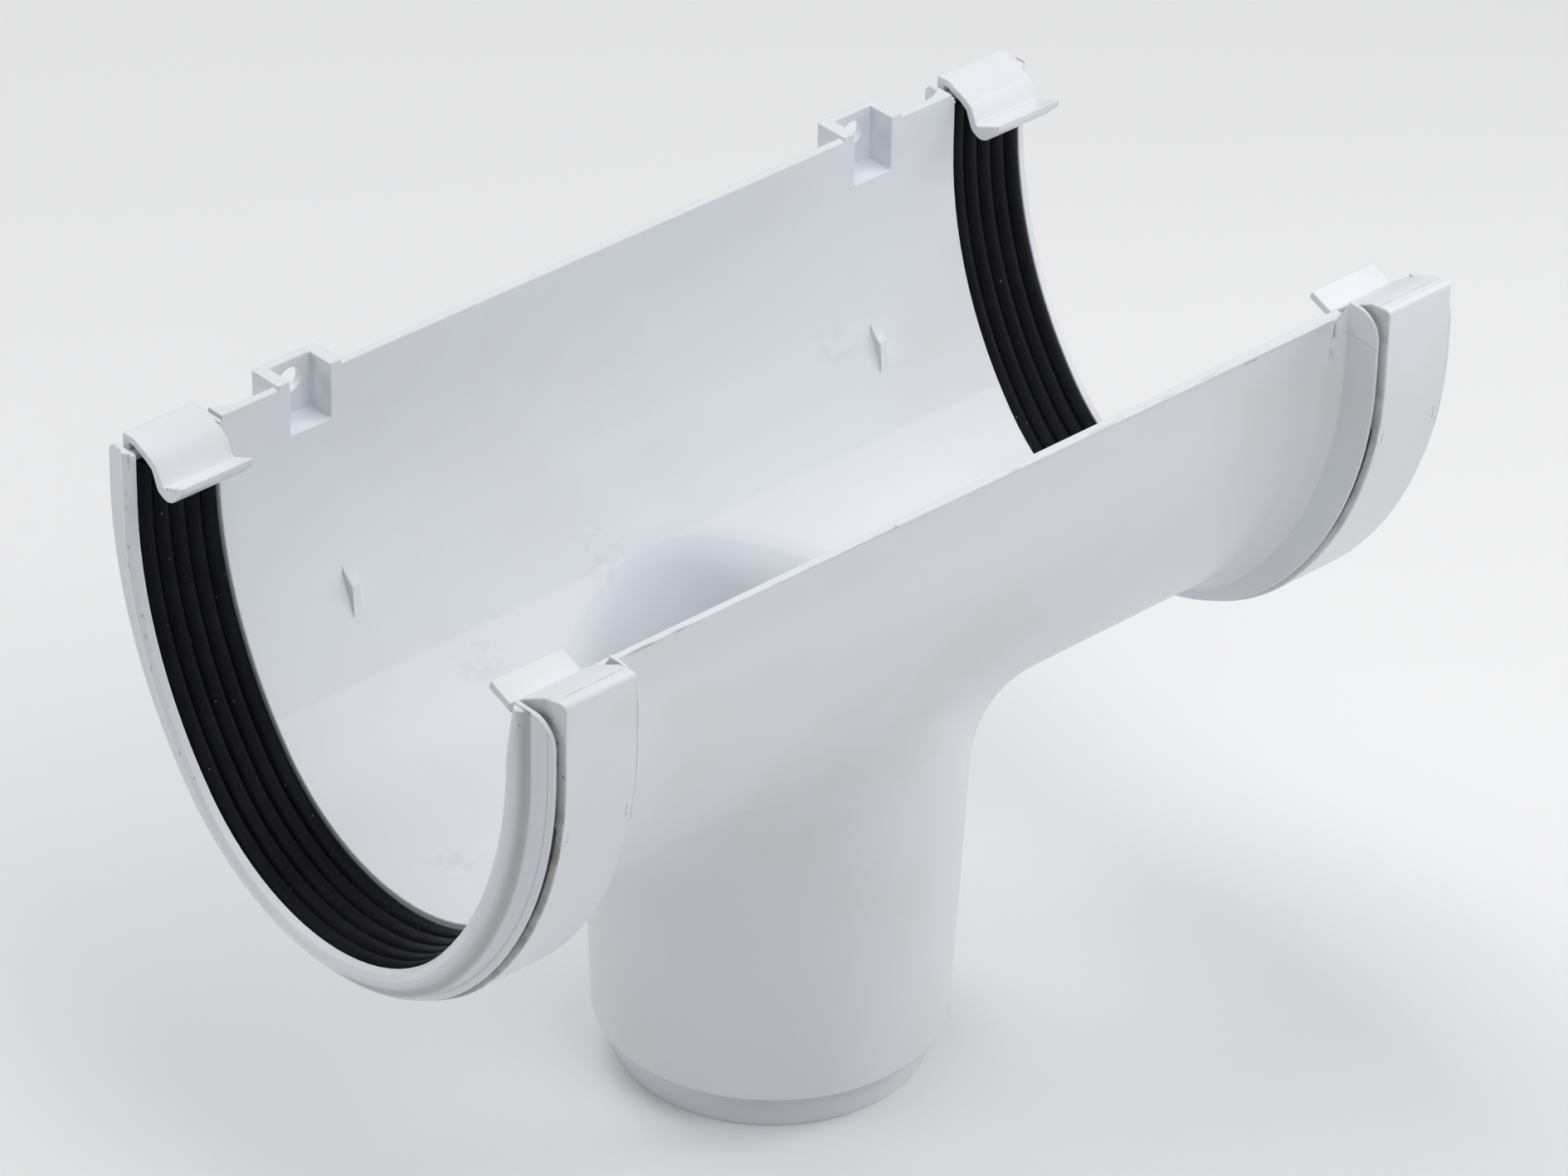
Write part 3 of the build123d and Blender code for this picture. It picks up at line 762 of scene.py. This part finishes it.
class OUTLET_OT_studio(bpy.types.Operator):
    """Set up the floor, the lights and the camera"""

    bl_idname = "outlet.studio"
    bl_label = "Studio"

    def execute(self, context):
        look = context.scene.outlet_studio
        self.floor(look)
        self.lights(context)
        self.camera(context, look)
        context.scene.view_settings.view_transform = "Standard"
        return {"FINISHED"}

    def floor(self, look):
        material = bpy.data.materials.new("studio_floor")
        material.use_nodes = True
        shader = material.node_tree.nodes["Principled BSDF"]
        shader.inputs["Base Color"].default_value = (*look.floor_colour, 1)
        shader.inputs["Roughness"].default_value = FLOOR_ROUGHNESS
        shape = bmesh.new()
        bmesh.ops.create_circle(shape, cap_ends=True, segments=FLOOR_SIDES, radius=FLOOR_RADIUS)
        mesh = bpy.data.meshes.new("studio_floor")
        shape.to_mesh(mesh)
        shape.free()
        mesh.materials.append(material)
        floor = bpy.data.objects.new("studio_floor", mesh)
        bpy.context.collection.objects.link(floor)

    def lights(self, context):
        world = bpy.data.worlds.new("studio_air")
        context.scene.world = world
        world.use_nodes = True
        air = world.node_tree.nodes["Background"]
        air.inputs["Color"].default_value = (*AIR_COLOUR, 1)
        air.inputs["Strength"].default_value = AIR_STRENGTH
        for name, place, size, watts in LAMPS:
            light = bpy.data.lights.new(name, "AREA")
            light.shape = "SQUARE"
            light.size = size
            light.energy = watts
            lamp = bpy.data.objects.new(name, light)
            lamp.location = place
            lamp.rotation_euler = (LAMP_AIM - lamp.location).to_track_quat("-Z", "Y").to_euler()
            bpy.context.collection.objects.link(lamp)

    def camera(self, context, look):
        back = Vector((sin(look.azimuth) * cos(look.elevation), -cos(look.azimuth) * cos(look.elevation),
                       sin(look.elevation)))
        level = back.to_track_quat("Z", "Y").to_matrix()
        turned = level @ Matrix.Rotation(look.roll, 3, "Z")
        data = bpy.data.cameras.new("studio_camera")
        data.sensor_width = SENSOR_WIDTH
        data.lens = look.focal_pixels * SENSOR_WIDTH / PHOTO_WIDTH
        data.clip_end = FAR_CLIP
        camera = bpy.data.objects.new("studio_camera", data)
        camera.matrix_world = Matrix.Translation(Vector(look.aim) + back * look.distance) @ turned.to_4x4()
        bpy.context.collection.objects.link(camera)
        context.scene.camera = camera


class OUTLET_PT_panel(bpy.types.Panel):
    """Buttons for the outlet's pieces and stage"""

    bl_label = "Gutter Outlet"
    bl_idname = "OUTLET_PT_panel"
    bl_space_type = "VIEW_3D"
    bl_region_type = "UI"
    bl_category = "Outlet"

    def draw(self, context):
        for step in STEPS:
            self.layout.operator(step.bl_idname)
        for name, group in GROUPS.items():
            box = self.layout.box()
            for key in group.__annotations__:
                box.prop(getattr(context.scene, name), key)


GROUPS = {"outlet_plastic": PlasticLook, "outlet_seal": SealLook, "outlet_studio": StudioLook}
STEPS = (OUTLET_OT_studio, OUTLET_OT_body, OUTLET_OT_seals, OUTLET_OT_straps)


def register():
    for made in (*GROUPS.values(), *STEPS, OUTLET_PT_panel):
        bpy.utils.register_class(made)
    for name, group in GROUPS.items():
        setattr(bpy.types.Scene, name, PointerProperty(type=group))


def unregister():
    for name in GROUPS:
        delattr(bpy.types.Scene, name)
    for made in (OUTLET_PT_panel, *reversed(STEPS), *reversed(GROUPS.values())):
        bpy.utils.unregister_class(made)


def main():
    register()
    bpy.ops.outlet.studio()
    bpy.ops.outlet.body()
    bpy.ops.outlet.seals()
    bpy.ops.outlet.straps()


if __name__ == "__main__":
    main()
